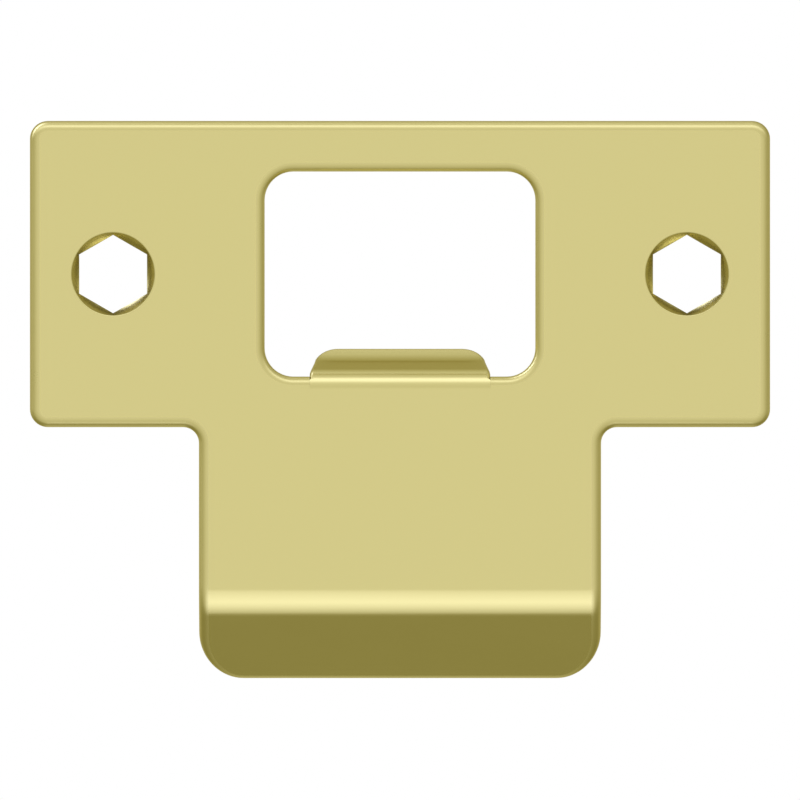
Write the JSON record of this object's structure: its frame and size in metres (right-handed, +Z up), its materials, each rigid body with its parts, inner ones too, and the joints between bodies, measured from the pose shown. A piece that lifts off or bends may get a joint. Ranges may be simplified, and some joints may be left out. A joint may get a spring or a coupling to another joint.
{
  "type": "door strike plate",
  "caption": "T-shaped door strike plate folded from brass sheet, with a latch opening and cranked tab, countersunk screw holes with hexagonal throats, and a lip bent back.",
  "frame": {"origin": "on the back face, midway between the screw holes, at the middle of the latch opening", "axes": "+X along the plate, +Y out of the back face into the door frame, +Z up; the front faces -Y and the lip points to -Z"},
  "size_m": [0.0698, 0.0086, 0.0526],
  "materials": {
    "satin_brass": "smooth polished to satin brass, lacquered, with softly rounded front edges"
  },
  "bodies": {
    "root": {"strike_plate": "satin_brass"}
  },
  "joints": []
}
